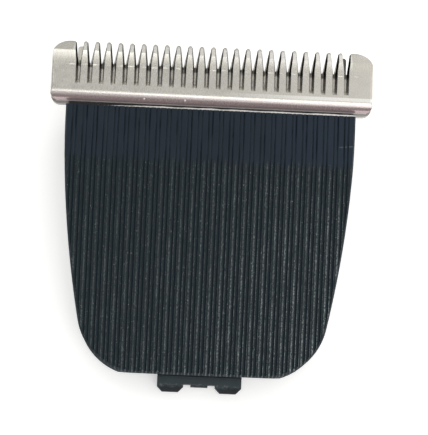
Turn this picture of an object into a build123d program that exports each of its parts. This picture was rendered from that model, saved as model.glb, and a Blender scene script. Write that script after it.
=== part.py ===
from build123d import *
from math import atan2, ceil, cos, degrees, hypot, radians, sin, sqrt, tan
import os

# A detachable hair clipper head: a toothed steel comb over a sliding cutter, on a ribbed plastic body.
# X runs along the cutting edge, Y from the mounting hook to the tooth tips, and Z from the seat face
# up to the comb's face. The origin is the middle of the underside. All sizes are in millimetres.

# Whole head
head_length = 47.9  # hook feet to tooth tips
shoulder_height = 8.6  # seat face to the underside of the guide plate
overrun = 1.0  # how far a cutting shape runs past what it cuts

# Clearances
running_gap = 0.03  # cutter under the comb
guide_gap = 0.06  # cutter and driver along the edges of the guide plate
seat_gap = 0.15  # frame inside the cover, and the plate's ears in front of it
thread_gap = 0.02  # screw and rivet shanks in their holes
spring_gap = 0.05  # spring wire beside what it bears on
free_gap = 0.4  # pieces that pass each other without touching

# Teeth that the comb and the cutter share
tooth_pitch = 1.63
half_stroke = 1.2
cutter_rest = -0.1  # where the cutter stopped, from the middle of its stroke

# Comb
comb_width = 45.0
comb_depth = 8.55
comb_thickness = 1.5
comb_tip_thickness = 0.5
comb_nose_length = 1.5
comb_grind_length = 3.65
comb_grind_drop = 0.18
comb_rear_radius = 1.4
comb_side_radius = 0.4
comb_rear_corner = 1.0
guard_corner = 2.4
guard_width = 2.8  # least width of the plain guard at each end
gap_tip_width = 1.0
gap_neck_width = 0.28
gap_root_width = 0.16
gap_neck_depth = 3.0
gap_depth = 6.35
gap_ramp = 1.0  # how far the floor of a gap takes to run out at its root
gap_flank_angle = 8.5
tooth_tip_chamfer = 0.1

# Cutter
cutter_setback = 0.6  # cutter tips behind the comb's tips
cutter_thickness = 0.87
cutter_end_width = 0.95  # end tooth, from its middle to the cutter's end
cutter_end_chamfer = 0.25
cutter_shoulder = 0.4  # cutter's body beyond its end teeth
cutter_gullet_depth = 2.35
cutter_gullet_width = 0.12
cutter_tip_width = 0.6
cutter_flank_angle = 8.0

# Guide plate
plate_thickness = 0.9
plate_lap = 1.2  # comb's rear edge on the plate
plate_strip = 0.55  # plate seen between the comb and the cover
plate_bar_width = 4.6
plate_tab_length = 2.4
ear_inset = 0.05
ear_setback = 3.0
ear_corner = 1.2
ear_stop_gap = 0.4  # cutter's end to the ear at full stroke

# Cover
cover_width = 40.5
cover_side_radius = 148.0
cover_rear_corner = 8.7
cover_rear_height = 5.5
cover_wall = 1.2
cover_skin = 1.2
cover_lip_thickness = 0.7
cover_edge_chamfer = 0.25
cover_rear_draft = 5.0  # lean of the rear wall, inward to the seat face
cover_flat_length = 7.0
crease_angle = 7.5

# Ribs on the cover
rib_wide = 0.92
rib_narrow = 0.54
rib_border = 0.3
rib_sink = 0.03
groove_width = 0.26
groove_depth = 0.2

# Frame
floor_thickness = 3.0
socket_width = 18.4
socket_rear_wall = 8.5
socket_corner = 2.0
socket_wall = 1.0
shoulder_depth = 5.85
catch_size = 0.7
catch_length = 6.0
catch_height = 1.5
catch_from_rear = 11.0

# Mounting hook
hook_length = 2.15
tab_length = 1.1
tab_width = 11.8
tab_thickness = 2.0
tab_step_length = 0.2
tab_step_height = 0.3
tab_root = 2.4
notch_width = 4.45
foot_chamfer = 0.7
foot_bevel = 0.75
tongue_width = 2.4
tongue_length = 0.3
tongue_thickness = 1.0

# Driver
pad_thickness = 1.1
pad_margin = 0.3
wing_margin = 0.8
neck_thickness = 3.1
neck_setback = 1.0
lip_thickness = 1.0
lip_rise = 0.6
stem_width = 6.8
stem_length = 7.3
stem_thickness = 4.6
stem_step = 0.9
drive_slot_width = 3.0
drive_slot_length = 5.4
drive_slot_depth = 3.4

# Rivets
rivet_teeth = 4  # tooth that hides each rivet, counted from the middle
rivet_radius = 0.6
rivet_head_radius = 0.95
rivet_tail_radius = 1.0
rivet_tail_height = 0.5

# Push spring
wire_radius = 0.4
wire_sides = 12  # flats round the wire, which keep its bends light
spring_corner_radius = 1.6
spring_tip_setback = 0.6
keeper_spacing = 10.0
keeper_width = 1.6
keeper_wall = 1.0

# Screws
screw_radius = 1.0
screw_head_radius = 1.7
screw_head_height = 1.1
screw_recess_width = 0.5
screw_recess_length = 2.0
screw_recess_depth = 0.6
screw_tip_margin = 0.1
plate_screw_grip = 3.6
cover_screw_seat = 1.4
cover_screw_bite = 3.0
pillar_radius = 1.9
pillar_from_rear = 10.5
sides = (-1, 1)

# Levels, from the seat face upwards
plate_top_z = shoulder_height + plate_thickness
comb_top_z = plate_top_z + comb_thickness
cutter_top_z = plate_top_z - running_gap
pad_top_z = cutter_top_z - cutter_thickness
pad_bottom_z = pad_top_z - pad_thickness
face_z = plate_top_z + cover_lip_thickness

# Places along Y, from the tooth tips back to the hook
tip_y = head_length / 2
comb_rear_y = tip_y - comb_depth
cutter_tip_y = tip_y - cutter_setback
gullet_y = cutter_tip_y - cutter_gullet_depth
gap_root_y = tip_y - gap_depth
bar_front_y = comb_rear_y + plate_lap
bar_rear_y = bar_front_y - plate_bar_width
tab_rear_y = bar_rear_y - plate_tab_length
ear_front_y = tip_y - ear_setback
cover_front_y = comb_rear_y - plate_strip
ear_rear_y = cover_front_y + seat_gap
crease_y = cover_front_y - cover_flat_length
throat_rear_y = cover_front_y - shoulder_depth
foot_y = -head_length / 2
cover_rear_y = foot_y + hook_length
notch_y = cover_rear_y - tab_length
socket_rear_y = cover_rear_y + socket_rear_wall
pad_rear_y = bar_front_y + pad_margin
pad_front_y = gullet_y - pad_margin
rivet_y = (pad_rear_y + pad_front_y) / 2
lip_front_y = bar_rear_y - guide_gap
lip_rear_y = lip_front_y - lip_thickness
stem_rear_y = lip_rear_y - stem_length
drive_slot_y = (lip_rear_y + stem_rear_y) / 2
spring_base_y = socket_rear_y - socket_wall - free_gap - wire_radius
pillar_y = cover_rear_y + pillar_from_rear

# Places along X, from the middle outwards
gap_count = int((comb_width - 2 * guard_width) / tooth_pitch)
cutter_half = (gap_count - 2) / 2 * tooth_pitch + cutter_end_width
cutter_body_half = cutter_half + cutter_shoulder
ear_inner_x = cutter_body_half + half_stroke + ear_stop_gap
ear_outer_x = comb_width / 2 - ear_inset
rivet_x = rivet_teeth * tooth_pitch
neck_half = rivet_x - rivet_tail_radius - free_gap
spring_arm_x = socket_width / 2 + socket_wall + free_gap + wire_radius
pad_half = spring_arm_x + half_stroke + wing_margin
throat_half = spring_arm_x + wire_radius + free_gap
tab_outer_x = cover_width / 2 - cover_wall - seat_gap
plate_screw_x = (throat_half + tab_outer_x) / 2
plate_screw_y = (throat_rear_y + cover_front_y) / 2
side_centre_x = cover_width / 2 - cover_side_radius
wall_inner_x = side_centre_x + sqrt((cover_side_radius - cover_wall) ** 2 - (pillar_y - cover_front_y) ** 2)
pillar_x = (spring_arm_x + wire_radius + wall_inner_x) / 2

# The cover's face: level from the front to the crease, then an arc that falls to the rear edge
crown_length = crease_y - cover_rear_y
crown_drop = face_z - cover_rear_height
crown_half_arc = atan2(crown_drop, crown_length) - radians(crease_angle)
crown_radius = hypot(crown_length, crown_drop) / (2 * sin(crown_half_arc))
crown_arc = degrees(2 * crown_half_arc + overrun / crown_radius)
crease_sin = sin(radians(crease_angle))
crease_cos = cos(radians(crease_angle))
crown_axis = Axis((0, crease_y + crown_radius * crease_sin, face_z - crown_radius * crease_cos), (1, 0, 0))
flat_rib_plane = Plane(origin=(0, crease_y, face_z), x_dir=(1, 0, 0), z_dir=(0, -1, 0))
crown_rib_plane = Plane(origin=(0, crease_y, face_z), x_dir=(1, 0, 0), z_dir=(0, -crease_cos, -crease_sin))


def cutter_plane(height):
    """Level plane at a height, centred on the cutter where it rests."""
    return Plane(origin=(cutter_rest, 0, height))


def slab(x_from, x_to, y_from, y_to, mode=Mode.ADD):
    """Rectangle between two corners, in the sketch being drawn."""
    with Locations(((x_from + x_to) / 2, (y_from + y_to) / 2)):
        Rectangle(abs(x_to - x_from), y_to - y_from, mode=mode)


def body_outline(inset, front_y):
    """Plan of the plastic body, drawn in by inset at the sides and the rear."""
    with BuildSketch() as outline:
        slab(-cover_width, cover_width, cover_rear_y + inset, front_y)
        for side in sides:
            with Locations((side * side_centre_x, cover_front_y)):
                Circle(cover_side_radius - inset, mode=Mode.INTERSECT)
        fillet(outline.vertices().group_by(Axis.Y)[0], cover_rear_corner - inset)
    return outline.sketch


def body_section(depth, front_y, front_z, base_z):
    """Lengthwise section of the body under its face, with the face lowered by depth behind the crease."""
    with BuildSketch(Plane.YZ.offset(-cover_width)) as section:
        with BuildLine():
            crown_start = (crease_y + depth * crease_sin, face_z - depth * crease_cos)
            crown = JernArc(crown_start, (-crease_cos, -crease_sin), crown_radius - depth, crown_arc)
            Polyline(crown @ 1, ((crown @ 1).X, base_z), (front_y, base_z), (front_y, front_z), crown_start)
        make_face()
    return section.sketch


def socket_outline(outset):
    """Plan of the clipper's socket, drawn out by outset at the sides and the rear."""
    half = socket_width / 2 + outset
    with BuildSketch() as outline:
        slab(-half, half, socket_rear_y - outset, throat_rear_y)
        fillet(outline.vertices().group_by(Axis.Y)[0], socket_corner + outset)
    return outline.sketch


def rib_section(plane):
    """Section of what is cleared away above the ribs: grooves between wide and narrow ribs in turn."""
    period = rib_wide + rib_narrow
    pairs = ceil(cover_width / 2 / period)
    starts = [rib_narrow / 2 + index * period for index in range(pairs)]
    grooves = sorted(side * (start + step) for side in sides for start in starts for step in (0, rib_wide))
    edge = pairs * period + rib_narrow / 2
    points = [(-edge, overrun), (-edge, -rib_sink)]
    for middle in grooves:
        points.append((middle - groove_width / 2, -rib_sink))
        points.append((middle, -rib_sink - groove_depth))
        points.append((middle + groove_width / 2, -rib_sink))
    points += [(edge, -rib_sink), (edge, overrun)]
    with BuildSketch(plane) as section:
        with BuildLine():
            Polyline(*points, close=True)
        make_face()
    return section.sketch


def gap_outline():
    """Gap between two comb teeth, with its mouth at the tips."""
    root = gap_root_width / 2
    mouth = gap_tip_width / 2
    with BuildSketch() as outline:
        with BuildLine():
            Polyline(
                (-root / 2, -gap_depth),
                (root / 2, -gap_depth),
                (root, root - gap_depth),
                (gap_neck_width / 2, -gap_neck_depth),
                (mouth, -tooth_tip_chamfer),
                (mouth + tooth_tip_chamfer, 0),
                (mouth + tooth_tip_chamfer, overrun),
                (-mouth - tooth_tip_chamfer, overrun),
                (-mouth - tooth_tip_chamfer, 0),
                (-mouth, -tooth_tip_chamfer),
                (-gap_neck_width / 2, -gap_neck_depth),
                (-root, root - gap_depth),
                close=True,
            )
        make_face()
    return outline.sketch


def gullet_outline():
    """Gap between two cutter teeth, with its mouth at the tips."""
    root = cutter_gullet_width / 2
    mouth = (tooth_pitch - cutter_tip_width) / 2
    with BuildSketch() as outline:
        with BuildLine():
            Polyline(
                (-root, -cutter_gullet_depth),
                (root, -cutter_gullet_depth),
                (mouth, 0),
                (mouth, overrun),
                (-mouth, overrun),
                (-mouth, 0),
                close=True,
            )
        make_face()
    return outline.sketch


def rivet_section(side, gap, reach, tail):
    """Half section of a rivet, or of its hole, in the cutter and the driver: countersunk at the top."""
    head = rivet_head_radius + gap
    shank = rivet_radius + gap
    middle = (cutter_rest + side * rivet_x, rivet_y, cutter_top_z)
    with BuildSketch(Plane(origin=middle, x_dir=(1, 0, 0), z_dir=(0, -1, 0))) as section:
        with BuildLine():
            Polyline((0, 0), (head, 0), (shank, shank - head), (shank, -reach), (0, -reach), close=True)
        make_face()
        if tail:
            slab(0, rivet_tail_radius, -reach - rivet_tail_height, -reach)
    return section.sketch, Axis(middle, (0, 0, 1))


def pan_screw(x, y, seat_z, length):
    """Pan-head screw pointing up, with the underside of its head at seat_z."""
    seat = Plane(origin=(x, y, seat_z))
    with BuildSketch(seat) as shank:
        Circle(screw_radius)
    extrude(shank.sketch, amount=length)
    with BuildSketch(seat) as head:
        Circle(screw_head_radius)
    extrude(head.sketch, amount=-screw_head_height)
    with BuildSketch(seat.offset(-screw_head_height)) as recess:
        Rectangle(screw_recess_length, screw_recess_width)
        Rectangle(screw_recess_width, screw_recess_length)
    extrude(recess.sketch, amount=screw_recess_depth, mode=Mode.SUBTRACT)


# Gaps between the comb's teeth: flanks that lean apart, and a floor that runs out at the root
with BuildPart() as comb_gaps:
    with BuildSketch(Plane.XY.offset(plate_top_z)):
        with Locations((0, tip_y)):
            with GridLocations(tooth_pitch, 0, gap_count, 1):
                add(gap_outline())
    extrude(amount=comb_thickness, taper=-gap_flank_angle)
    with BuildSketch(Plane.YZ.offset(-comb_width / 2)):
        with BuildLine():
            Polyline(
                (gap_root_y - overrun, plate_top_z),
                (gap_root_y + gap_ramp, plate_top_z),
                (gap_root_y, comb_top_z),
                (gap_root_y - overrun, comb_top_z),
                close=True,
            )
        make_face()
    extrude(amount=comb_width, mode=Mode.SUBTRACT)

# Comb: a ground section, trimmed to its plan and to its rounded sides, with the gaps cut through
with BuildPart() as comb_blade:
    with BuildSketch(Plane.YZ.offset(-comb_width / 2)) as comb_section:
        with BuildLine():
            Polyline(
                (comb_rear_y, plate_top_z),
                (tip_y, plate_top_z),
                (tip_y, plate_top_z + comb_tip_thickness),
                (tip_y - comb_nose_length, comb_top_z - comb_grind_drop),
                (tip_y - comb_grind_length, comb_top_z),
                (comb_rear_y, comb_top_z),
                close=True,
            )
        make_face()
        fillet(comb_section.vertices().group_by(Axis.X)[0].sort_by(Axis.Y)[-1], comb_rear_radius)
    extrude(amount=comb_width)
    with BuildSketch(Plane.XY.offset(plate_top_z)) as comb_plan:
        slab(-comb_width / 2, comb_width / 2, comb_rear_y, tip_y)
        fillet(comb_plan.vertices().group_by(Axis.Y)[0], comb_rear_corner)
        fillet(comb_plan.vertices().group_by(Axis.Y)[-1], guard_corner)
    extrude(amount=comb_thickness, mode=Mode.INTERSECT)
    with BuildSketch(Plane.XZ.offset(-tip_y)) as comb_front:
        slab(-comb_width / 2, comb_width / 2, plate_top_z, comb_top_z)
        fillet(comb_front.vertices().group_by(Axis.Y)[-1], comb_side_radius)
    extrude(amount=comb_depth, mode=Mode.INTERSECT)
    add(comb_gaps.part, mode=Mode.SUBTRACT)

# Guide plate: a bar behind the cutter, an ear at each end and two tabs for the screws
with BuildPart() as guide_plate:
    with BuildSketch(Plane.XY.offset(shoulder_height)) as plate_plan:
        slab(-ear_outer_x, ear_outer_x, ear_rear_y, bar_front_y)
        fillet(plate_plan.vertices().group_by(Axis.Y)[0], ear_corner)
        slab(-tab_outer_x, tab_outer_x, bar_rear_y, bar_front_y)
        for side in sides:
            slab(side * ear_inner_x, side * ear_outer_x, bar_front_y, ear_front_y)
            slab(side * throat_half, side * tab_outer_x, tab_rear_y, bar_rear_y)
            with Locations((side * plate_screw_x, plate_screw_y)):
                Circle(screw_radius + thread_gap, mode=Mode.SUBTRACT)
    extrude(amount=plate_thickness)

# Cutter: a flat blade with relieved gullets and two countersunk rivet holes
with BuildPart() as cutter_blade:
    with BuildSketch(cutter_plane(cutter_top_z)) as cutter_plan:
        slab(-cutter_half, cutter_half, gullet_y, cutter_tip_y)
        chamfer(cutter_plan.vertices().group_by(Axis.Y)[-1], cutter_end_chamfer)
        slab(-cutter_body_half, cutter_body_half, bar_front_y + guide_gap, gullet_y)
    extrude(amount=-cutter_thickness)
    with BuildSketch(cutter_plane(cutter_top_z)):
        with Locations((0, cutter_tip_y)):
            with GridLocations(tooth_pitch, 0, gap_count - 2, 1):
                add(gullet_outline())
    extrude(amount=-cutter_thickness, taper=-cutter_flank_angle, mode=Mode.SUBTRACT)
    for side in sides:
        section, axis = rivet_section(side, thread_gap, cutter_thickness + overrun, tail=False)
        revolve(section, axis=axis, mode=Mode.SUBTRACT)

# Driver: a pad under the cutter, a neck under the guide plate, a lip behind it and a slotted stem
with BuildPart() as cutter_driver:
    with BuildSketch(cutter_plane(pad_bottom_z)):
        slab(-pad_half, pad_half, pad_rear_y, pad_front_y)
    extrude(amount=pad_thickness)
    neck_top_z = shoulder_height - guide_gap
    with BuildSketch(cutter_plane(neck_top_z)):
        slab(-neck_half, neck_half, lip_rear_y, pad_front_y - neck_setback)
    extrude(amount=-neck_thickness)
    with BuildSketch(cutter_plane(neck_top_z - stem_step)):
        slab(-neck_half, neck_half, lip_rear_y, lip_front_y)
    extrude(amount=stem_step + guide_gap + lip_rise)
    with BuildSketch(cutter_plane(neck_top_z - stem_step)):
        slab(-stem_width / 2, stem_width / 2, stem_rear_y, lip_front_y)
    extrude(amount=-stem_thickness)
    with BuildSketch(cutter_plane(neck_top_z - stem_step - stem_thickness)):
        with Locations((0, drive_slot_y)):
            SlotOverall(drive_slot_length, drive_slot_width, rotation=90)
    extrude(amount=drive_slot_depth, mode=Mode.SUBTRACT)
    with BuildSketch(cutter_plane(pad_bottom_z)):
        with Locations((-rivet_x, rivet_y), (rivet_x, rivet_y)):
            Circle(rivet_radius + thread_gap)
    extrude(amount=pad_thickness, mode=Mode.SUBTRACT)

# Rivets that hold the driver on the cutter
with BuildPart() as driver_rivets:
    for side in sides:
        section, axis = rivet_section(side, 0, cutter_thickness + pad_thickness, tail=True)
        revolve(section, axis=axis)

# Wall round the clipper's socket, up to the inside of the cover
with BuildPart() as socket_collar:
    with BuildSketch():
        add(socket_outline(socket_wall))
        add(socket_outline(0), mode=Mode.SUBTRACT)
    extrude(amount=face_z)
    collar_depth = cover_skin + seat_gap
    collar_section = body_section(collar_depth, cover_front_y, face_z - collar_depth, 0)
    extrude(collar_section, amount=2 * cover_width, mode=Mode.INTERSECT)

# Frame: a floor round the socket, two shoulders for the guide plate and the mounting hook
frame_plan = body_outline(cover_wall + seat_gap, cover_front_y)
with BuildPart() as frame:
    with BuildSketch():
        add(frame_plan)
        add(socket_outline(0), mode=Mode.SUBTRACT)
        slab(-throat_half, throat_half, throat_rear_y, cover_front_y + overrun, mode=Mode.SUBTRACT)
    extrude(amount=floor_thickness)
    add(socket_collar.part)
    for side in sides:
        with BuildSketch():
            add(frame_plan)
            slab(side * throat_half, side * cover_width, throat_rear_y, cover_front_y, mode=Mode.INTERSECT)
        extrude(amount=shoulder_height)
    with BuildSketch(Plane.XY.offset(floor_thickness)):
        slab(-tab_width / 2, tab_width / 2, notch_y, cover_rear_y + tab_root)
    extrude(amount=-tab_thickness)
    with BuildSketch(Plane.XY.offset(floor_thickness)):
        slab(-tab_width / 2, tab_width / 2, cover_rear_y - tab_step_length, cover_rear_y)
    extrude(amount=tab_step_height)
    for side in sides:
        with BuildSketch(Plane.XY.offset(floor_thickness)) as foot_plan:
            slab(side * notch_width / 2, side * tab_width / 2, foot_y, cover_rear_y)
            chamfer(foot_plan.vertices().group_by(Axis.Y)[0], foot_chamfer)
        extrude(amount=-tab_thickness)
    chamfer(frame.edges().filter_by(Axis.X).group_by(Axis.Y)[0].group_by(Axis.Z)[-1], foot_bevel)
    with BuildSketch(Plane.XY.offset(floor_thickness - tab_thickness)):
        slab(-tongue_width / 2, tongue_width / 2, notch_y - tongue_length, cover_rear_y)
    extrude(amount=tongue_thickness)
    with BuildSketch(Plane.XZ.offset(-(cover_rear_y + catch_from_rear))):
        with Locations((-socket_width / 2, catch_height), (socket_width / 2, catch_height)):
            Rectangle(catch_size, catch_size, rotation=45)
    extrude(amount=-catch_length)
    keeper_base_z = floor_thickness + 2 * (wire_radius + spring_gap)
    for side in sides:
        with BuildSketch(Plane.YZ.offset(side * keeper_spacing / 2 - keeper_width / 2)):
            keeper_front_y = spring_base_y - wire_radius - spring_gap
            slab(keeper_front_y - keeper_wall, keeper_front_y, floor_thickness, keeper_base_z + keeper_wall)
            slab(keeper_front_y, spring_base_y + wire_radius, keeper_base_z, keeper_base_z + keeper_wall)
        extrude(amount=keeper_width)
    with BuildSketch():
        with Locations((-plate_screw_x, plate_screw_y), (plate_screw_x, plate_screw_y)):
            Circle(screw_head_radius + seat_gap)
    extrude(amount=shoulder_height - plate_screw_grip, mode=Mode.SUBTRACT)
    with BuildSketch():
        with Locations((-pillar_x, pillar_y), (pillar_x, pillar_y)):
            Circle(screw_head_radius + seat_gap)
    extrude(amount=cover_screw_seat, mode=Mode.SUBTRACT)
    with BuildSketch():
        for side in sides:
            with Locations((side * plate_screw_x, plate_screw_y), (side * pillar_x, pillar_y)):
                Circle(screw_radius + seat_gap)
    extrude(amount=shoulder_height, mode=Mode.SUBTRACT)

# Push spring: a wire bow that lies on the floor round the socket and bears on the driver's pad
with BuildPart() as push_spring:
    spring_base_z = floor_thickness + spring_gap + wire_radius
    spring_tip_y = pad_front_y - spring_tip_setback
    spring_tip_z = pad_bottom_z - spring_gap - wire_radius
    arm_end = (-spring_arm_x, spring_tip_y, spring_tip_z)
    arm_slope = (0, spring_base_y - spring_tip_y, spring_base_z - spring_tip_z)
    with BuildLine():
        FilletPolyline(
            arm_end,
            (-spring_arm_x, spring_base_y, spring_base_z),
            (spring_arm_x, spring_base_y, spring_base_z),
            (spring_arm_x, spring_tip_y, spring_tip_z),
            radius=spring_corner_radius,
        )
    with BuildSketch(Plane(origin=arm_end, z_dir=arm_slope)):
        RegularPolygon(wire_radius, wire_sides)
    sweep()

# Room inside the cover, with a pillar left standing over each cover screw
with BuildPart() as cover_room:
    pocket_rear_y = tab_rear_y - seat_gap
    extrude(body_section(cover_skin, pocket_rear_y, face_z - cover_skin, -overrun), amount=2 * cover_width)
    with BuildSketch(Plane.XY.offset(-overrun)):
        slab(-cover_width, cover_width, pocket_rear_y, cover_front_y + overrun)
    extrude(amount=plate_top_z + overrun)
    with BuildSketch(Plane.XY.offset(-overrun)):
        add(body_outline(cover_wall, cover_front_y + overrun))
    extrude(amount=face_z + overrun, mode=Mode.INTERSECT)
    with BuildSketch(Plane.XY.offset(floor_thickness)):
        with Locations((-pillar_x, pillar_y), (pillar_x, pillar_y)):
            Circle(pillar_radius)
    extrude(amount=face_z, mode=Mode.SUBTRACT)

# What is cleared above the ribs, on the level part of the cover's face and on the falling part
rib_plan = body_outline(rib_border, cover_front_y + overrun)
with BuildPart() as flat_grooves:
    extrude(rib_section(flat_rib_plane), amount=-cover_flat_length - overrun)
    with BuildSketch():
        add(rib_plan)
    extrude(amount=face_z + overrun, mode=Mode.INTERSECT)
with BuildPart() as crown_grooves:
    revolve(rib_section(crown_rib_plane), axis=crown_axis, revolution_arc=crown_arc)
    with BuildSketch():
        add(rib_plan)
    extrude(amount=face_z + overrun, mode=Mode.INTERSECT)

# Cover: a hollow shell with chamfered edges, a lip over the guide plate and ribs along its face
with BuildPart() as cover:
    extrude(body_section(0, cover_front_y + overrun, face_z, 0), amount=2 * cover_width)
    with BuildSketch():
        add(body_outline(0, cover_front_y))
    extrude(amount=face_z, mode=Mode.INTERSECT)
    face_edges = cover.faces().filter_by(lambda face: face.normal_at().Z > crease_cos / 2).edges()
    rim = face_edges.filter_by(
        lambda edge: edge.center().Y < cover_rear_y + overrun or abs(edge.center().X) > tab_width
    )
    chamfer(rim, cover_edge_chamfer)
    with BuildSketch(Plane.YZ.offset(-cover_width)):
        with BuildLine():
            draft_top_z = cover_rear_height - cover_edge_chamfer
            Polyline(
                (cover_rear_y, draft_top_z),
                (cover_rear_y + draft_top_z * tan(radians(cover_rear_draft)), 0),
                (cover_rear_y - overrun, 0),
                (cover_rear_y - overrun, draft_top_z),
                close=True,
            )
        make_face()
    extrude(amount=2 * cover_width, mode=Mode.SUBTRACT)
    add(flat_grooves.part, mode=Mode.SUBTRACT)
    add(crown_grooves.part, mode=Mode.SUBTRACT)
    add(cover_room.part, mode=Mode.SUBTRACT)
    with BuildSketch():
        hook_half = tab_width / 2 + seat_gap
        slab(-hook_half, hook_half, foot_y, cover_rear_y + cover_wall + overrun)
    extrude(amount=floor_thickness + seat_gap, mode=Mode.SUBTRACT)
    with BuildSketch(Plane.XY.offset(floor_thickness)):
        with Locations((-pillar_x, pillar_y), (pillar_x, pillar_y)):
            Circle(screw_radius + thread_gap)
    extrude(amount=cover_screw_bite + screw_tip_margin, mode=Mode.SUBTRACT)

# Screws that hold the guide plate on the frame, and the frame in the cover
with BuildPart() as plate_screws:
    for side in sides:
        plate_screw_seat_z = shoulder_height - plate_screw_grip
        plate_screw_length = plate_screw_grip + plate_thickness - screw_tip_margin
        pan_screw(side * plate_screw_x, plate_screw_y, plate_screw_seat_z, plate_screw_length)
with BuildPart() as cover_screws:
    for side in sides:
        cover_screw_length = floor_thickness - cover_screw_seat + cover_screw_bite
        pan_screw(side * pillar_x, pillar_y, cover_screw_seat, cover_screw_length)

os.makedirs("parts", exist_ok=True)
comb_blade.part.label = "comb_blade"
export_step(comb_blade.part, "parts/comb_blade.step")
guide_plate.part.label = "guide_plate"
export_step(guide_plate.part, "parts/guide_plate.step")
cutter_blade.part.label = "cutter_blade"
export_step(cutter_blade.part, "parts/cutter_blade.step")
cutter_driver.part.label = "cutter_driver"
export_step(cutter_driver.part, "parts/cutter_driver.step")
driver_rivets.part.label = "driver_rivets"
export_step(driver_rivets.part, "parts/driver_rivets.step")
frame.part.label = "frame"
export_step(frame.part, "parts/frame.step")
push_spring.part.label = "push_spring"
export_step(push_spring.part, "parts/push_spring.step")
cover.part.label = "cover"
export_step(cover.part, "parts/cover.step")
plate_screws.part.label = "plate_screws"
export_step(plate_screws.part, "parts/plate_screws.step")
cover_screws.part.label = "cover_screws"
export_step(cover_screws.part, "parts/cover_screws.step")
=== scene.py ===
from math import radians

import bpy
from mathutils import Euler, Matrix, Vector


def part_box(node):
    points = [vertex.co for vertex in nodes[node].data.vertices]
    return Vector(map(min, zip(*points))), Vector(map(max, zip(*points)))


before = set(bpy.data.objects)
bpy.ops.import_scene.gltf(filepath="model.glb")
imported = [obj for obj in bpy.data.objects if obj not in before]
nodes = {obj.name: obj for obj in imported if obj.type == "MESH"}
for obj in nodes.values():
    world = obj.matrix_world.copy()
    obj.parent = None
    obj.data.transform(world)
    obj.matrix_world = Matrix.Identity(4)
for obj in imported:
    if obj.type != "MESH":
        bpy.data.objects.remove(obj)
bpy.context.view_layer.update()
mm = 0.001

# Picture and camera, with angles in degrees
picture_height = 59.69 * mm  # what the photo's height spans at the camera's target
camera_distance = 210 * mm
camera_turn = 2.2
camera_tilt = 10.0
camera_lean = -2.0
camera_target = Vector((0.94, -0.5, 11.0)) * mm
camera_clip_start = 1 * mm
sensor_height = 24.0

# Places that the finishes follow, in millimetres
comb_low, comb_high = [Vector(corner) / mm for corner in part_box("comb_blade")]
cover_low, cover_high = [Vector(corner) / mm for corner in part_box("cover")]
frame_low = Vector(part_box("frame")[0]) / mm
tip_y = comb_high.y
roll_y = comb_low.y  # rear edge of the comb, which is rolled over
grind_y = tip_y - 3.65  # where the ground teeth meet the comb's flat face
hollow_end_y = tip_y - 0.3
hollow_length = hollow_end_y - grind_y
hollow_slopes = (0.07, 0.01)  # height per millimetre from the grind's start, at its two ends
gullet_y = tip_y - 2.95  # roots of the cutter's teeth
gap_root_y = tip_y - 6.35  # roots of the comb's gaps
toothed_half = 20.0  # half the width that has teeth
guard_edge = (toothed_half - 0.6, toothed_half - 0.3)  # where the plain guards start, out from the middle
cutter_end = (toothed_half - 2.1, toothed_half - 1.8)  # where the cutter's last tooth on the right starts
ear_edge = (toothed_half - 0.2, toothed_half + 0.4)  # where the guide plate's ears start
tip_edge = (tip_y - 0.14, tip_y - 0.04)  # where the painted shade at the tips starts
teeth_highlight_edge = (tip_y - 2.9, tip_y - 1.8)  # where the painted highlight on the teeth starts
tooth_highlight_end = -0.35  # where it ends on the teeth and on the left guard, from the tips
guard_highlight_end = -1.6
roll_edge = (roll_y + 0.8, roll_y + 1.2)  # where the roll, its pinkish underside and its bright lip end; their tones are painted reflections
under_edge = (roll_y + 0.2, roll_y + 0.7)
lip_edge = (roll_y + 0.02, roll_y + 0.06)
highlight_band_y = roll_y + 1.6  # painted highlight band in front of the roll
highlight_band_x = (0, 14)  # where the painted highlight comes up, to the right
roll_glints = ((-9.4, 0.14), (-3.7, 0.16))  # X and radius of each painted glint on the roll
glint_y = roll_y + 0.5
plate_shade_x = (-17, -8)  # where the painted shade on the guide plate narrows
plate_shade_widths = (0.5, 0.22)
crease_y = cover_high.y - 7.0
crease_edge = (crease_y - 0.9, crease_y + 0.1)
lit_right_x = (4, 16)  # where the cover's level part gets lighter, to the right, as painted light
rib_highlight_x = (-8, 16)  # where the painted highlight on the ribs grows, to the right
rib_period = 1.46
rib_wear_and_highlight = ((0.54, 0.16, 1.0), (0.90, 0.14, 1.0), (0.27, 0.14, 0.4))  # share of the period, width, strength; each is a line of wear and a painted highlight
scratch_from = (17.6, 10.28)  # X and Y of the scratch on the cover
scratch_to = (19.8, 10.5)
foot_shade_edge = (0.55, 0.8)  # where the painted shade on the hook's feet ends, from their end
foot_line = 0.95

# Directions in which a texture is drawn out, and the span of a noise's values
along_x = (14, 1, 1)
along_y = (1, 14, 1)
along_wire = (1, 12, 1)
even = (1, 1, 1)
noise_span = (0.3, 0.7)

# Limits of how far up the cover's walls and grooves face
wall_facing = (0.1, 0.4)
groove_facing = (0.80, 0.95)

# Roughness of each finish, and shine where it isn't metal
comb_rough = 0.24
cutter_rough = 0.32
plate_rough = 0.22
rivet_rough = 0.35
spring_rough = 0.3
screw_rough = 0.32
moulded_rough = 0.42
wall_rough = 0.9
driver_rough = 0.5
floor_rough = 0.8
cover_shine = 0.16
frame_shine = 0.3
driver_shine = 0.5
floor_shine = 0.1

# Share of metal left where the steel is dull or carries painted light or shade, and what the roll's pinkish
# underside and lip take off it
roll_metal = 0.74
under_loss = 0.18
lip_loss = 0.45
flank_shade_metal = 0.25
run_out_metal = 0.5
end_metal = 0.9
plate_shade_metal = 0.3

# Strength of the wear and painted highlight on the ribs
rear_wear_and_highlight = (1.1, 0.36)  # from the rear to the crease
right_highlight = (0.5, 1.4)  # from left to right
rib_end_wear_and_highlight = 0.35

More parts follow.
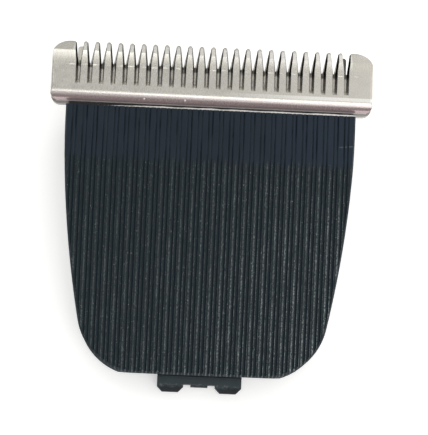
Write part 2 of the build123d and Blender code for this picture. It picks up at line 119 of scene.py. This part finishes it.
# Soft edges, the width of the painted shade at the rims, and the depth of bumps, in millimetres
steel_edge = 0.05
plastic_edge = 0.08
rim_width = 0.15
fine_grind = 0.003
rough_grind = 0.004
dent_depth = 0.010
ridge_height = 0.010
moulded_grain = 0.010
smooth_grain = 0.006

# Colours of the steel, its specks, and the painted light, shade and reflections on it
comb_light, comb_dark = (0.685, 0.66, 0.61), (0.63, 0.607, 0.56)
cutter_light, cutter_dark = (0.72, 0.69, 0.63), (0.60, 0.57, 0.52)
plate_light, plate_dark = (0.88, 0.86, 0.83), (0.80, 0.78, 0.75)
rivet_light, rivet_dark = (0.62, 0.61, 0.60), (0.52, 0.51, 0.50)
spring_light, spring_dark = (0.56, 0.55, 0.54), (0.44, 0.43, 0.42)
screw_light, screw_dark = (0.62, 0.62, 0.62), (0.50, 0.50, 0.50)
steel_speck = (0.30, 0.28, 0.25)
# Painted highlight along the grind line
grind_highlight_tone = (0.90, 0.88, 0.83)
# Painted highlight on the teeth
teeth_highlight_tone = (0.94, 0.925, 0.89)
# Painted shade at the very tips
tip_shade_tone = (0.22, 0.21, 0.19)
# Painted reflection: the roll's pinkish tint
roll_reflection_tone = (0.68, 0.612, 0.597)
# Painted highlight in front of the roll
roll_highlight_tone = (0.95, 0.94, 0.89)
# Painted reflections: the roll's pinkish underside and its bright lip
underside_reflection_tone = (0.60, 0.465, 0.475)
lip_reflection_tone = (0.92, 0.85, 0.84)
# Painted glints on the roll
glint_tone = (1.0, 0.98, 0.96)
# Painted shade along the rims of the teeth
rim_shade_tone = (0.13, 0.125, 0.115)
# Painted light on the run-outs at the gap roots
run_out_light_tone = (0.78, 0.76, 0.71)
ear_tone = (0.42, 0.40, 0.385)
# Painted shade on the flanks of the teeth, near the roots and further ahead
root_shade = (0.11, 0.104, 0.094)
flank_shade = (0.035, 0.033, 0.030)
# Painted shade at the roots of the cutter's teeth
gullet_shade = (0.045, 0.04, 0.034)
# Painted shade on the cutter's rightmost tooth
end_tooth_shade = (0.05, 0.045, 0.04)
# Painted shade along the comb's rear edge, on the guide plate
plate_shade = (0.02, 0.018, 0.017)
# Specular tints: plain, and darkened for the painted shade on the flanks
plain_tint = (1.0, 1.0, 1.0)
shaded_tint = (0.08, 0.08, 0.08)

# Colours of the plastic and its wear, and the painted light, shade and reflection on it
# The bluish level part and the greener falling part differ by a painted reflection
level_dark, level_light = (0.0095, 0.0168, 0.0265), (0.0125, 0.0205, 0.0315)
# Painted light: the level part is lighter to the right
level_lit_right = (0.0145, 0.0235, 0.0385)
fall_dark, fall_light = (0.0054, 0.0126, 0.0162), (0.0092, 0.0176, 0.0214)
# Grooves painted lighter than the ribs, to offset the shade in them
fall_groove = (0.017, 0.027, 0.035)
groove_pale, groove_mid = (0.031, 0.044, 0.057), (0.025, 0.037, 0.049)
groove_dim, groove_dark = (0.018, 0.028, 0.038), (0.008, 0.014, 0.020)
# Lines of wear on the ribs, which are also painted highlights
wear_and_highlight_tone = (0.32, 0.36, 0.37)
cover_speck = (0.45, 0.48, 0.48)
scratch_tone = (0.10, 0.122, 0.145)
frame_dark, frame_light = (0.026, 0.041, 0.048), (0.037, 0.055, 0.063)
# Painted shade at the ends of the hook's feet, and a painted highlight line above it
foot_shade_tone = (0.008, 0.011, 0.013)
foot_highlight_tone = (0.16, 0.175, 0.18)
driver_dark, driver_light = (0.72, 0.71, 0.67), (0.78, 0.77, 0.73)

# Floor in metres, surroundings and colours of the lamps
floor_half = 0.6
floor_colour = (0.86, 0.86, 0.855, 1)
floor_lift = 0.42  # added where the camera or the steel sees the floor, so that it shows as white
world_strength = 0.60
world_left = (0.77, 0.785, 0.785)
world_right = (1.68, 1.66, 1.64)
world_front = (1.58, 1.56, 1.48)
world_behind = (0.17, 0.115, 0.108)
right_start = (0, 0.16)  # these four are parts of the direction along X or Y, from -1 to 1
front_start = (0.28, 0.5)
front_end = (0.65, 0.9)
behind_end = (-0.9, -0.65)
key_tone = (1.0, 0.985, 0.96)
window_tone = (1.0, 0.98, 0.92)
overhead_tone = (1.0, 0.995, 0.98)


def new_material(name, metallic=0.0):
    """A material with one principled shader; returns it, its node tree and the shader."""
    material = bpy.data.materials.new(name)
    material.use_nodes = True
    tree = material.node_tree
    tree.nodes.clear()
    output = tree.nodes.new("ShaderNodeOutputMaterial")
    shader = tree.nodes.new("ShaderNodeBsdfPrincipled")
    shader.inputs["Metallic"].default_value = metallic
    tree.links.new(shader.outputs["BSDF"], output.inputs["Surface"])
    return material, tree, shader


def place(tree, stretch=even):
    """Object coordinates in millimetres, divided by stretch along each axis."""
    coordinates = tree.nodes.new("ShaderNodeTexCoord")
    mapping = tree.nodes.new("ShaderNodeMapping")
    mapping.inputs["Scale"].default_value = [1 / mm / factor for factor in stretch]
    tree.links.new(coordinates.outputs["Object"], mapping.inputs["Vector"])
    return mapping.outputs["Vector"]


def axis(tree, vector, name):
    """One coordinate of a vector."""
    node = tree.nodes.new("ShaderNodeSeparateXYZ")
    tree.links.new(vector, node.inputs[0])
    return node.outputs[name]


def at(tree, name):
    """One coordinate of the place on the object, in millimetres."""
    return axis(tree, place(tree), name)


def facing(tree, name):
    """One coordinate of the surface's normal, in the object's own axes."""
    return axis(tree, tree.nodes.new("ShaderNodeTexCoord").outputs["Normal"], name)


def calc(tree, operation, first, second=None):
    """Arithmetic on sockets and numbers."""
    node = tree.nodes.new("ShaderNodeMath")
    node.operation = operation
    for socket, value in zip(node.inputs, (first, second)):
        if isinstance(value, (int, float)):
            socket.default_value = value
        elif value is not None:
            tree.links.new(value, socket)
    return node.outputs[0]


def across(tree):
    """Distance from the object's middle plane, in millimetres."""
    return calc(tree, "ABSOLUTE", at(tree, "X"))


def sideways(tree):
    """How far the surface faces to either side, from 0 to 1."""
    return calc(tree, "ABSOLUTE", facing(tree, "X"))


def apart(tree, first, second):
    """Distance between two values."""
    return calc(tree, "ABSOLUTE", calc(tree, "SUBTRACT", first, second))


def times(tree, first, *others):
    """The product of several masks or numbers."""
    for other in others:
        first = calc(tree, "MULTIPLY", first, other)
    return first


def most(tree, first, *others):
    """The largest of several masks."""
    for other in others:
        first = calc(tree, "MAXIMUM", first, other)
    return first


def fit(tree, value, low, high, to_low, to_high):
    """A value moved from one range to another, held at its ends."""
    node = tree.nodes.new("ShaderNodeMapRange")
    node.inputs["From Min"].default_value = low
    node.inputs["From Max"].default_value = high
    node.inputs["To Min"].default_value = to_low
    node.inputs["To Max"].default_value = to_high
    tree.links.new(value, node.inputs["Value"])
    return node.outputs["Result"]


def rise(tree, value, low, high, top=1):
    """A mask that rises from 0 to its top as a value goes from low to high."""
    return fit(tree, value, low, high, 0, top)


def fall(tree, value, low, high, top=1):
    """A mask that falls from its top to 0 as a value goes from low to high."""
    return fit(tree, value, low, high, top, 0)


def inverse(tree, mask, least=0):
    """1 where a mask is 0, and least where it is 1."""
    return fit(tree, mask, 0, 1, 1, least)


def noise(tree, size, stretch=even, detail=4.0, roughness=0.55):
    """Noise with features of about size millimetres."""
    texture = tree.nodes.new("ShaderNodeTexNoise")
    texture.inputs["Scale"].default_value = 1 / size
    texture.inputs["Detail"].default_value = detail
    texture.inputs["Roughness"].default_value = roughness
    tree.links.new(place(tree, stretch), texture.inputs["Vector"])
    return texture.outputs["Fac"]


def sway(tree, size, reach, stretch=even):
    """Noise that wanders by its reach to either side of 0."""
    return fit(tree, noise(tree, size, stretch, detail=3), *noise_span, -reach, reach)


def mix(tree, share, first, second):
    """Two colours, or sockets, mixed by a share."""
    node = tree.nodes.new("ShaderNodeMix")
    node.data_type = "RGBA"
    tree.links.new(share, node.inputs["Factor"])
    for name, colour in (("A", first), ("B", second)):
        socket = [s for s in node.inputs if s.name == name and s.type == "RGBA"][0]
        if isinstance(colour, tuple):
            socket.default_value = (*colour, 1)
        else:
            tree.links.new(colour, socket)
    return [s for s in node.outputs if s.type == "RGBA"][0]


def bump(tree, height, distance, below):
    """A bump of a height in millimetres over another normal."""
    node = tree.nodes.new("ShaderNodeBump")
    node.inputs["Distance"].default_value = distance * mm
    tree.links.new(height, node.inputs["Height"])
    tree.links.new(below, node.inputs["Normal"])
    return node.outputs["Normal"]


def soft_edges(tree, radius):
    """A normal that rounds the edges by a radius in millimetres."""
    node = tree.nodes.new("ShaderNodeBevel")
    node.samples = 4
    node.inputs["Radius"].default_value = radius * mm
    return node.outputs["Normal"]


def near_edge(tree, radius):
    """A mask that is 1 at an edge and falls to 0 at a radius from it, in millimetres."""
    node = tree.nodes.new("ShaderNodeVectorMath")
    node.operation = "DOT_PRODUCT"
    tree.links.new(soft_edges(tree, radius), node.inputs[0])
    tree.links.new(tree.nodes.new("ShaderNodeNewGeometry").outputs["Normal"], node.inputs[1])
    return fall(tree, node.outputs["Value"], 0.75, 0.98)


def spot(tree, x, y, radius):
    """A round mask about a place on the XY plane, in millimetres."""
    away_x = calc(tree, "SUBTRACT", at(tree, "X"), x)
    away_y = calc(tree, "SUBTRACT", at(tree, "Y"), y)
    away = calc(tree, "ADD", times(tree, away_x, away_x), times(tree, away_y, away_y))
    return fall(tree, calc(tree, "SQRT", away), radius / 2, radius)


def steel(name, light, dark, rough, grain, scratch):
    """Ground steel: grinding lines along grain, varied colour and gloss, fine specks and softened edges."""
    material, tree, shader = new_material(name, metallic=1.0)
    lines = noise(tree, 0.05, grain, detail=3)
    colour = mix(tree, rise(tree, noise(tree, 2.5, detail=5), 0.35, 0.65), dark, light)
    speck = rise(tree, noise(tree, 0.16, detail=2), 0.70, 0.76, 0.4)
    colour = mix(tree, speck, colour, steel_speck)
    normal = bump(tree, lines, scratch, soft_edges(tree, steel_edge))
    tree.links.new(colour, shader.inputs["Base Color"])
    tree.links.new(fit(tree, lines, *noise_span, rough - 0.06, rough + 0.08), shader.inputs["Roughness"])
    tree.links.new(normal, shader.inputs["Normal"])
    return material, tree, shader, colour, normal


def darken_flanks(tree, shader, colour, metal):
    """Sets colour and metal: painted shade at the rims and on the flanks of the teeth, painted light on the
    run-outs at the gap roots.
    """
    y = at(tree, "Y")
    inside = fall(tree, across(tree), toothed_half + 0.9, toothed_half + 1.1)
    past_root = rise(tree, y, gap_root_y - 0.1, gap_root_y + 0.4, 0.7)
    # Painted shade along the rims of the teeth
    rim = times(tree, near_edge(tree, rim_width), inside, past_root)
    flank = rise(tree, sideways(tree), 0.5, 0.75)
    # Painted shade on the flanks, with less metal behind the cutter's gullets
    flank_shading = times(tree, flank, inside, fit(tree, y, gap_root_y + 0.3, gap_root_y + 2.6, 0.05, 0.95))
    ahead = rise(tree, y, gullet_y - 1.2, gullet_y + 0.1)
    # Painted light on the run-outs, which face ahead
    run_out = times(
        tree,
        rise(tree, facing(tree, "Y"), 0.3, 0.5),
        fall(tree, y, gap_root_y + 1.1, gap_root_y + 1.4),
        rise(tree, y, gap_root_y - 0.3, gap_root_y - 0.1),
        inside,
    )
    colour = mix(tree, rim, colour, rim_shade_tone)
    colour = mix(tree, flank_shading, colour, mix(tree, ahead, root_shade, flank_shade))
    tree.links.new(mix(tree, run_out, colour, run_out_light_tone), shader.inputs["Base Color"])
    tree.links.new(mix(tree, flank_shading, plain_tint, shaded_tint), shader.inputs["Specular Tint"])
    shaded_behind = times(tree, flank_shading, inverse(tree, ahead))
    metal = times(tree, metal, inverse(tree, shaded_behind, flank_shade_metal), inverse(tree, run_out, run_out_metal))
    tree.links.new(metal, shader.inputs["Metallic"])


def grind_line(tree):
    """A broken line across the teeth, where the grind meets the flat face; the comb raises it a little and
    paints it lighter, a painted highlight.
    """
    from_line = apart(tree, at(tree, "Y"), calc(tree, "ADD", sway(tree, 1.5, 0.06), grind_y))
    broken = rise(tree, noise(tree, 1.1, detail=3), 0.42, 0.58)
    toothed = fall(tree, across(tree), toothed_half, toothed_half + 0.5)
    return times(tree, fall(tree, from_line, 0.02, 0.11), broken, toothed)


def painted_teeth_highlight(tree):
    """The painted highlight on the teeth, weaker and further back on the left guard; the right guard has
    none.
    """
    y = at(tree, "Y")
    from_tip = fit(tree, across(tree), *guard_edge, tooth_highlight_end, guard_highlight_end)
    past_end = calc(tree, "SUBTRACT", y, calc(tree, "ADD", from_tip, tip_y))
    return times(
        tree,
        rise(tree, y, *teeth_highlight_edge, 0.8),
        fit(tree, past_end, -0.2, 0.2, 1, 0.1),
        fit(tree, across(tree), *guard_edge, 1, 0.6),
        fall(tree, at(tree, "X"), *guard_edge),
    )


def roll_reflections_and_highlights(tree, colour):
    """Colour and metal of the comb's roll: a duller roll tinted pinkish and a pinkish underside, both
    painted reflections, a painted highlight band to the right, a bright lip that is a painted reflection,
    and two painted glints.
    """
    y = at(tree, "Y")
    roll = fall(tree, y, *roll_edge)
    band = fall(tree, apart(tree, y, highlight_band_y), 0.18, 0.30)
    band = times(tree, band, rise(tree, at(tree, "X"), *highlight_band_x))
    under = fall(tree, y, *under_edge)
    lip = fall(tree, y, *lip_edge)
    glints = most(tree, *[spot(tree, x, glint_y, radius) for x, radius in roll_glints])
    # Painted reflections, highlight and glints on the roll
    colour = mix(tree, roll, colour, roll_reflection_tone)
    colour = mix(tree, band, colour, roll_highlight_tone)
    colour = mix(tree, under, colour, underside_reflection_tone)
    colour = mix(tree, lip, colour, lip_reflection_tone)
    colour = mix(tree, glints, colour, glint_tone)
    metal = inverse(tree, roll, roll_metal)
    metal = calc(tree, "SUBTRACT", metal, times(tree, under, under_loss))
    metal = calc(tree, "SUBTRACT", metal, times(tree, lip, lip_loss))
    return colour, times(tree, metal, inverse(tree, glints))


def comb_steel():
    """The comb's steel: hollow-ground teeth with a painted highlight, painted shade at the tips, a grind
    line with a painted highlight, a dull roll with painted reflections and glints, and painted shade on the
    flanks.
    """
    material, tree, shader, colour, normal = steel(
        "comb_steel", comb_light, comb_dark, comb_rough, along_y, fine_grind
    )
    y = at(tree, "Y")
    ridge_and_highlight = grind_line(tree)
    # Painted highlight along the grind line
    colour = mix(tree, calc(tree, "MULTIPLY", ridge_and_highlight, 0.8), colour, grind_highlight_tone)
    # Painted highlight on the teeth
    colour = mix(tree, painted_teeth_highlight(tree), colour, teeth_highlight_tone)
    # Painted shade at the very tips
    colour = mix(tree, rise(tree, y, *tip_edge, 0.75), colour, tip_shade_tone)
    colour, metal = roll_reflections_and_highlights(tree, colour)
    darken_flanks(tree, shader, colour, metal)
    dents = bump(tree, noise(tree, 1.6, (3, 1, 1), detail=3), dent_depth, normal)
    ground = rise(tree, y, grind_y, hollow_end_y, hollow_length)
    hollow = times(tree, ground, fit(tree, ground, 0, hollow_length, *hollow_slopes))
    hollow = bump(tree, hollow, 1.0, dents)
    tree.links.new(bump(tree, ridge_and_highlight, ridge_height, hollow), shader.inputs["Normal"])
    return material


def cutter_steel():
    """The cutter's steel: duller, with painted shade at the roots of its teeth and on the rightmost tooth.
    """
    material, tree, shader, colour, _ = steel(
        "cutter_steel", cutter_light, cutter_dark, cutter_rough, along_y, rough_grind
    )
    y = at(tree, "Y")
    from_root = apart(tree, y, calc(tree, "ADD", sway(tree, 0.7, 0.35), gullet_y - 0.25))
    # Painted shade at the roots of the cutter's teeth
    colour = mix(tree, fall(tree, from_root, 0.2, 0.6, 0.85), colour, gullet_shade)
    # Painted shade on the rightmost tooth
    end = rise(tree, at(tree, "X"), *cutter_end, 0.9)
    end = times(tree, end, rise(tree, y, gullet_y - 0.3, gullet_y))
    colour = mix(tree, end, colour, end_tooth_shade)
    darken_flanks(tree, shader, colour, inverse(tree, end, end_metal))
    return material


def plate_steel():
    """The guide plate's steel: dull ears, and painted shade along the comb's rear edge, wider to the left.
    """
    material, tree, shader, colour, _ = steel(
        "plate_steel", plate_light, plate_dark, plate_rough, along_x, fine_grind
    )
    colour = mix(tree, rise(tree, across(tree), *ear_edge), colour, ear_tone)
    # Painted shade along the comb's rear edge
    wander = fit(tree, noise(tree, 2.0, detail=4), *noise_span, -0.05, 0.07)
    width = fit(tree, at(tree, "X"), *plate_shade_x, *plate_shade_widths)
    plate_shade_y = calc(tree, "ADD", calc(tree, "SUBTRACT", wander, width), roll_y)
    plate_shading = fall(tree, calc(tree, "SUBTRACT", plate_shade_y, at(tree, "Y")), -0.04, 0.03)
    plate_shading = times(tree, plate_shading, fit(tree, across(tree), *ear_edge, 1, 0.2))
    tree.links.new(mix(tree, plate_shading, colour, plate_shade), shader.inputs["Base Color"])
    tree.links.new(inverse(tree, plate_shading, plate_shade_metal), shader.inputs["Metallic"])
    return material


def plastic(name, dark, light, rough, grain, shine):
    """Moulded plastic: a fine eroded grain, faint colour clouds, uneven gloss and softened edges."""
    material, tree, shader = new_material(name)
    fine = noise(tree, 0.09, detail=3)
    colour = mix(tree, rise(tree, noise(tree, 3.0, detail=5), *noise_span), dark, light)
    gloss = fit(tree, fine, *noise_span, rough - 0.05, rough + 0.1)
    tree.links.new(colour, shader.inputs["Base Color"])
    tree.links.new(gloss, shader.inputs["Roughness"])
    tree.links.new(bump(tree, fine, grain, soft_edges(tree, plastic_edge)), shader.inputs["Normal"])
    shader.inputs["Specular IOR Level"].default_value = shine
    return material, tree, shader, colour, gloss


def rib_line(tree, share, width):
    """A line along the ribs at a share of their period, fading over width millimetres."""
    turns = calc(tree, "DIVIDE", at(tree, "X"), rib_period)
    part = calc(tree, "FRACT", calc(tree, "ADD", turns, 0.5 - share))
    return fall(tree, apart(tree, part, 0.5), 0.02, width / rib_period)


def level_grooves(tree):
    """Colour of the grooves in front of the crease, painted lighter than the ribs to offset their shade:
    pale and dark in patches drawn out along the ribs.
    """
    patch = rise(tree, noise(tree, 0.6, (1, 8, 1), detail=3), 0.42, 0.58)
    colour = mix(tree, rib_line(tree, 0.18, 0.4), groove_mid, groove_dim)
    colour = mix(tree, patch, groove_pale, colour)
    return mix(tree, rise(tree, patch, 0.5, 1, 0.4), colour, groove_dark)


def wear_and_highlight_lines(tree, low, outside):
    """Worn lines along the ribs, which are also painted highlights: broken, stronger to the rear and, as
    painted light, to the right, and unbroken at the rear ends.
    """
    y = at(tree, "Y")
    ribs = [times(tree, rib_line(tree, share, width), strength) for share, width, strength in rib_wear_and_highlight]
    lines = most(tree, *ribs)
    streak = rise(tree, noise(tree, 0.12, (1, 2.5, 1), detail=4, roughness=0.75), 0.42, 0.70)
    uneven = fit(tree, noise(tree, 0.9, (1, 9, 1), detail=3), 0.35, 0.65, 0.45, 1.35)
    rear = fit(tree, y, cover_low.y + 3, crease_y, *rear_wear_and_highlight)
    right = fit(tree, at(tree, "X"), *rib_highlight_x, *right_highlight)
    wear_and_highlight = times(tree, lines, outside, streak, low, rear, right, uneven)
    rib_end = fall(tree, y, cover_low.y + 0.2, cover_low.y + 0.7, rib_end_wear_and_highlight)
    return most(tree, wear_and_highlight, times(tree, lines, outside, rib_end))


def cover_scratch(tree):
    """One thin scratch near the right side, which starts faint."""
    x = at(tree, "X")
    (start_x, start_y), (end_x, end_y) = scratch_from, scratch_to
    from_scratch = apart(tree, at(tree, "Y"), fit(tree, x, start_x, end_x, start_y, end_y))
    line = fall(tree, from_scratch, 0.03, 0.09)
    return times(tree, line, rise(tree, x, start_x + 0.2, start_x + 0.8, 0.9))


def cover_plastic():
    """The cover's plastic: bluish where level and greener behind the crease, a painted reflection; the level
    part is painted lighter to the right, a painted light; the grooves are painted lighter to offset their
    shade; and lines of wear on the ribs are also painted highlights.
    """
    material, tree, shader, blue, gloss = plastic(
        "cover_plastic", level_dark, level_light, moulded_rough, moulded_grain, cover_shine
    )
    up = facing(tree, "Z")
    past_crease = calc(tree, "ADD", at(tree, "Y"), sway(tree, 0.5, 0.4, (1, 2, 1)))
    low = most(tree, fall(tree, past_crease, *crease_edge), fall(tree, up, *wall_facing))
    outside = times(
        tree,
        rise(tree, calc(tree, "SUBTRACT", up, facing(tree, "Y")), 0.3, 0.6),
        fall(tree, sideways(tree), 0.35, 0.6),
    )
    # Painted light: the level part gets lighter to the right
    blue = mix(tree, rise(tree, at(tree, "X"), *lit_right_x), blue, level_lit_right)
    # Painted reflection: greener behind the crease than the bluish level part
    green = mix(tree, rise(tree, noise(tree, 1.2, (1, 3, 1)), *noise_span), fall_dark, fall_light)
    # Grooves painted lighter to offset their shade
    groove = mix(tree, low, level_grooves(tree), fall_groove)
    colour = mix(tree, fall(tree, up, *groove_facing), mix(tree, low, blue, green), groove)
    # Lines of wear that are also painted highlights
    colour = mix(tree, wear_and_highlight_lines(tree, low, outside), colour, wear_and_highlight_tone)
    speck = rise(tree, noise(tree, 0.13, detail=1), 0.725, 0.77)
    colour = mix(tree, times(tree, speck, low, outside), colour, cover_speck)
    colour = mix(tree, times(tree, cover_scratch(tree), outside), colour, scratch_tone)
    tree.links.new(colour, shader.inputs["Base Color"])
    rough = most(tree, gloss, fall(tree, up, *wall_facing, wall_rough))
    tree.links.new(rough, shader.inputs["Roughness"])
    return material


def frame_plastic():
    """The frame's plastic: the hook's feet end in a dark strip of painted shade below a broken lighter line,
    a painted highlight.
    """
    material, tree, shader, colour, _ = plastic(
        "frame_plastic", frame_dark, frame_light, moulded_rough, moulded_grain, frame_shine
    )
    from_end = calc(tree, "SUBTRACT", calc(tree, "ADD", at(tree, "Y"), sway(tree, 0.5, 0.22)), frame_low.y)
    # Painted shade at the ends of the feet
    colour = mix(tree, fall(tree, from_end, *foot_shade_edge, 0.85), colour, foot_shade_tone)
    # Painted highlight line above it
    line = fall(tree, apart(tree, from_end, foot_line), 0.05, 0.14)
    broken = rise(tree, noise(tree, 0.35, detail=3), 0.45, 0.6, 0.6)
    colour = mix(tree, times(tree, line, broken), colour, foot_highlight_tone)
    tree.links.new(colour, shader.inputs["Base Color"])
    return material


finishes = {
    "comb_blade": comb_steel(),
    "cutter_blade": cutter_steel(),
    "guide_plate": plate_steel(),
    "driver_rivets": steel("rivet_steel", rivet_light, rivet_dark, rivet_rough, even, fine_grind)[0],
    "push_spring": steel("spring_steel", spring_light, spring_dark, spring_rough, along_wire, fine_grind)[0],
    "plate_screws": steel("screw_steel", screw_light, screw_dark, screw_rough, even, fine_grind)[0],
    "cover": cover_plastic(),
    "frame": frame_plastic(),
    "cutter_driver": plastic(
        "driver_plastic", driver_dark, driver_light, driver_rough, smooth_grain, driver_shine
    )[0],
}
finishes["cover_screws"] = finishes["plate_screws"]
for name, material in finishes.items():
    nodes[name].data.materials.clear()
    nodes[name].data.materials.append(material)


def add_light(name, power, size, position, colour, mirrored=True):
    """A soft lamp that faces the object, in watts and metres; steel shows it only if it is mirrored."""
    data = bpy.data.lights.new(name, "AREA")
    data.energy = power
    data.shape = "RECTANGLE"
    data.size, data.size_y = size
    data.color = colour
    lamp = bpy.data.objects.new(name, data)
    lamp.location = position
    lamp.rotation_euler = (-Vector(position)).to_track_quat("-Z", "Y").to_euler()
    lamp.visible_glossy = mirrored
    bpy.context.scene.collection.objects.link(lamp)


def build_lights():
    """A key from ahead on the right, a window from ahead on the left, and two lamps overhead."""
    add_light(
        "key", power=0.5, size=(0.4, 0.4), position=(0.24, 0.38, 0.28), colour=key_tone, mirrored=False
    )
    add_light("window", power=0.22, size=(0.24, 0.24), position=(-0.15, 0.26, 0.33), colour=window_tone)
    add_light("top", power=0.34, size=(0.20, 0.42), position=(0.11, -0.19, 0.42), colour=overhead_tone)
    add_light("strip", power=0.060, size=(0.25, 0.07), position=(-0.06, -0.04, 0.42), colour=overhead_tone)


def build_floor():
    """A plain white floor that shows as white to the camera and in the metal, and keeps its shadow."""
    mesh = bpy.data.meshes.new("floor")
    corners = [(x * floor_half, y * floor_half, 0) for x, y in ((-1, -1), (1, -1), (1, 1), (-1, 1))]
    mesh.from_pydata(corners, [], [(0, 1, 2, 3)])
    floor = bpy.data.objects.new("floor", mesh)
    bpy.context.scene.collection.objects.link(floor)
    material, tree, shader = new_material("floor_white")
    shader.inputs["Base Color"].default_value = floor_colour
    shader.inputs["Roughness"].default_value = floor_rough
    shader.inputs["Specular IOR Level"].default_value = floor_shine
    shader.inputs["Emission Color"].default_value = (1, 1, 1, 1)
    path = tree.nodes.new("ShaderNodeLightPath")
    seen = calc(tree, "MAXIMUM", path.outputs["Is Camera Ray"], path.outputs["Is Glossy Ray"])
    tree.links.new(calc(tree, "MULTIPLY", seen, floor_lift), shader.inputs["Emission Strength"])
    mesh.materials.append(material)


def build_world():
    """Soft surroundings: pale, brighter to the right and past the teeth, warm and dark past the hook."""
    world = bpy.data.worlds.new("studio")
    bpy.context.scene.world = world
    world.use_nodes = True
    tree = world.node_tree
    tree.nodes.clear()
    output = tree.nodes.new("ShaderNodeOutputWorld")
    background = tree.nodes.new("ShaderNodeBackground")
    direction = tree.nodes.new("ShaderNodeTexCoord").outputs["Generated"]
    forward = axis(tree, direction, "Y")
    colour = mix(tree, rise(tree, axis(tree, direction, "X"), *right_start), world_left, world_right)
    front = times(tree, rise(tree, forward, *front_start), fit(tree, forward, *front_end, 1, 0.3))
    colour = mix(tree, front, colour, world_front)
    colour = mix(tree, fall(tree, forward, *behind_end), colour, world_behind)
    tree.links.new(colour, background.inputs["Color"])
    background.inputs["Strength"].default_value = world_strength
    tree.links.new(background.outputs[0], output.inputs["Surface"])


def build_camera():
    """The photo's camera: almost straight above, leaning toward the hook and turned a little."""
    data = bpy.data.cameras.new("camera")
    data.sensor_fit = "VERTICAL"
    data.sensor_height = sensor_height
    data.lens = sensor_height * camera_distance / picture_height
    data.clip_start = camera_clip_start
    camera = bpy.data.objects.new("camera", data)
    turn = Euler((radians(camera_tilt), radians(camera_lean), radians(camera_turn)))
    camera.rotation_euler = turn
    camera.location = camera_target + turn.to_matrix() @ Vector((0, 0, camera_distance))
    bpy.context.scene.collection.objects.link(camera)
    bpy.context.scene.camera = camera


build_floor()
build_world()
build_camera()
build_lights()
bpy.context.scene.view_settings.view_transform = "Standard"
